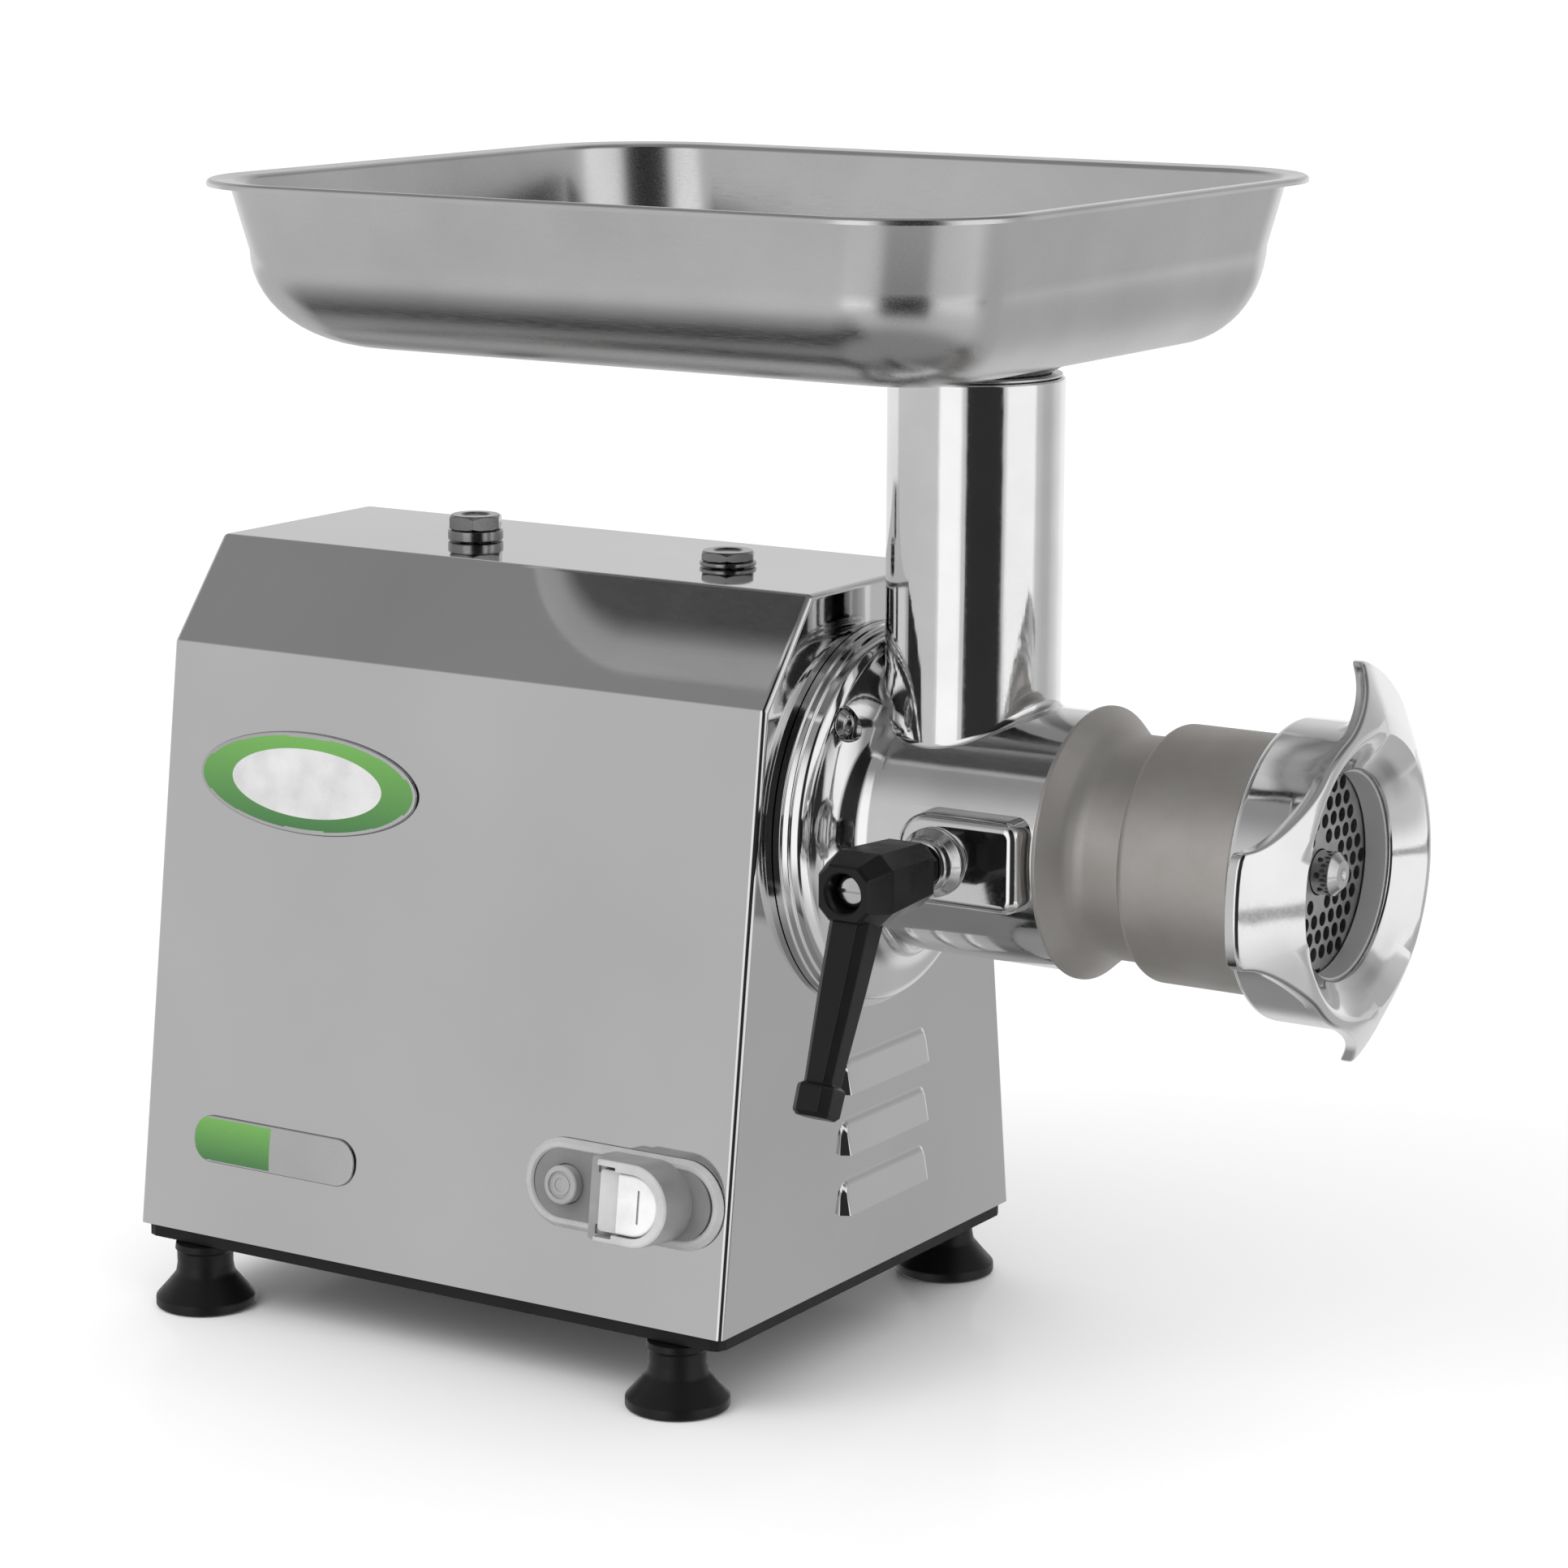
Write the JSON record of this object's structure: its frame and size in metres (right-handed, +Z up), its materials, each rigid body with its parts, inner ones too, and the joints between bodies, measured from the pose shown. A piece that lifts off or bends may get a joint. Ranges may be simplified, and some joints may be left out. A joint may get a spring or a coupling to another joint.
{
  "type": "meat grinder",
  "caption": "Electric countertop meat grinder: folded steel housing on rubber feet, geared motor, clamped grinding head, feed tube and lift-off tray.",
  "frame": {"origin": "centre of the footprint of the whole machine, on the surface it stands on", "axes": "+X along the auger axis towards the outlet, +Z up, -Y towards the operator side with the switch and the clamping lever"},
  "size_m": [0.424, 0.2656, 0.3905],
  "materials": {
    "stainless": "mirror-polished stainless sheet",
    "black_steel": "black painted steel",
    "rubber": "black moulded rubber",
    "steel": "machined steel",
    "green_enamel": "green domed label with a pale rim",
    "satin_stainless": "satin stainless",
    "clear_plastic": "translucent pale plastic",
    "grey_plastic": "grey plastic",
    "white_plastic": "white plastic",
    "black_plastic": "black moulded plastic",
    "polished_aluminium": "mirror-polished casting",
    "satin_aluminium": "bead-blasted satin",
    "cast_iron": "grey casting",
    "copper": "enamelled copper wire"
  },
  "bodies": {
    "machine": {"housing_shell": "stainless", "base_plate": "black_steel", "foot_rear_near": "rubber", "foot_rear_far": "rubber", "foot_front_near": "rubber", "foot_front_far": "rubber", "roof_washer_rear": "steel", "roof_bolt_rear": "steel", "roof_washer_front": "steel", "roof_bolt_front": "steel", "flange_screw_1": "steel", "flange_screw_2": "steel", "flange_screw_3": "steel", "flange_screw_4": "steel", "output_front_bearing": "steel", "output_rear_bearing": "steel", "countershaft_rear_bearing": "steel", "motor_front_bearing": "steel", "motor_rear_bearing": "steel", "stator_core": "steel", "oval_badge": "green_enamel", "pill_badge": "satin_stainless", "switch_bezel": "clear_plastic", "switch_body": "grey_plastic", "capacitor": "white_plastic", "cable_gland": "black_plastic", "head_casting": "polished_aluminium", "gearbox_case": "cast_iron", "gearbox_cover": "cast_iron", "motor_front_bell": "cast_iron", "motor_rear_bell": "cast_iron", "stator_winding": "copper"},
    "motor_rotor": {"motor_shaft": "steel", "rotor_core": "steel", "cooling_fan": "black_plastic", "motor_pinion": "steel"},
    "countershaft_group": {"countershaft": "steel", "countershaft_wheel": "steel", "countershaft_pinion": "steel"},
    "output_group": {"output_shaft": "steel", "output_wheel": "steel"},
    "mouth": {"mouth_sleeve": "satin_aluminium", "plate_key": "steel", "perforated_plate": "steel"},
    "worm": {"auger": "steel", "knife": "steel"},
    "nut_spacer": {"spacer_ring": "satin_stainless"},
    "nut": {"ring_nut": "polished_aluminium"},
    "lever": {"lever_handle": "black_plastic", "lever_screw": "steel", "clamp_stud": "steel"},
    "tray_group": {"tray": "satin_stainless", "tray_spout": "satin_stainless"},
    "start": {"start_button": "white_plastic"},
    "stop": {"stop_button": "grey_plastic"}
  },
  "joints": [
    {"name": "motor_spin", "type": "hinge", "parent": "machine", "child": "motor_rotor", "pos_m": [-0.066, 0, 0.0971], "axis": [1, 0, 0], "continuous": true},
    {"name": "countershaft_spin", "type": "hinge", "parent": "machine", "child": "countershaft_group", "pos_m": [-0.006, 0, 0.1346], "axis": [1, 0, 0], "continuous": true},
    {"name": "output_spin", "type": "hinge", "parent": "machine", "child": "output_group", "pos_m": [0.004, 0, 0.1836], "axis": [1, 0, 0], "continuous": true},
    {"name": "mouth_pull", "type": "slide", "parent": "machine", "child": "mouth", "axis": [1, 0, 0], "range_m": [0, 0.08]},
    {"name": "auger_spin", "type": "hinge", "parent": "mouth", "child": "worm", "pos_m": [0.114, 0, 0.1836], "axis": [1, 0, 0], "continuous": true},
    {"name": "nut_travel", "type": "slide", "parent": "mouth", "child": "nut_spacer", "axis": [1, 0, 0], "range_m": [0, 0.018]},
    {"name": "ring_nut_turn", "type": "hinge", "parent": "nut_spacer", "child": "nut", "pos_m": [0.194, 0, 0.1836], "axis": [1, 0, 0], "range_deg": [0, 2160]},
    {"name": "lever_turn", "type": "hinge", "parent": "machine", "child": "lever", "pos_m": [0.085, 0, 0.1826], "axis": [0, -1, 0], "range_deg": [0, 360]},
    {"name": "tray_lift", "type": "slide", "parent": "machine", "child": "tray_group", "axis": [0, 0, 1], "range_m": [0, 0.04]},
    {"name": "start_press", "type": "slide", "parent": "machine", "child": "start", "axis": [0, 0.9922, -0.1245], "range_m": [0, 0.003], "stiffness_N_per_m": 600},
    {"name": "stop_press", "type": "slide", "parent": "machine", "child": "stop", "axis": [0, 0.9922, -0.1245], "range_m": [0, 0.0025], "stiffness_N_per_m": 600}
  ],
  "couplings": [
    {"joint": "countershaft_spin", "follows": "motor_spin", "ratio": -0.33333},
    {"joint": "output_spin", "follows": "motor_spin", "ratio": 0.10078},
    {"joint": "auger_spin", "follows": "motor_spin", "ratio": 0.10078},
    {"joint": "nut_travel", "follows": "ring_nut_turn", "m_per_rad": 0.00047746}
  ]
}
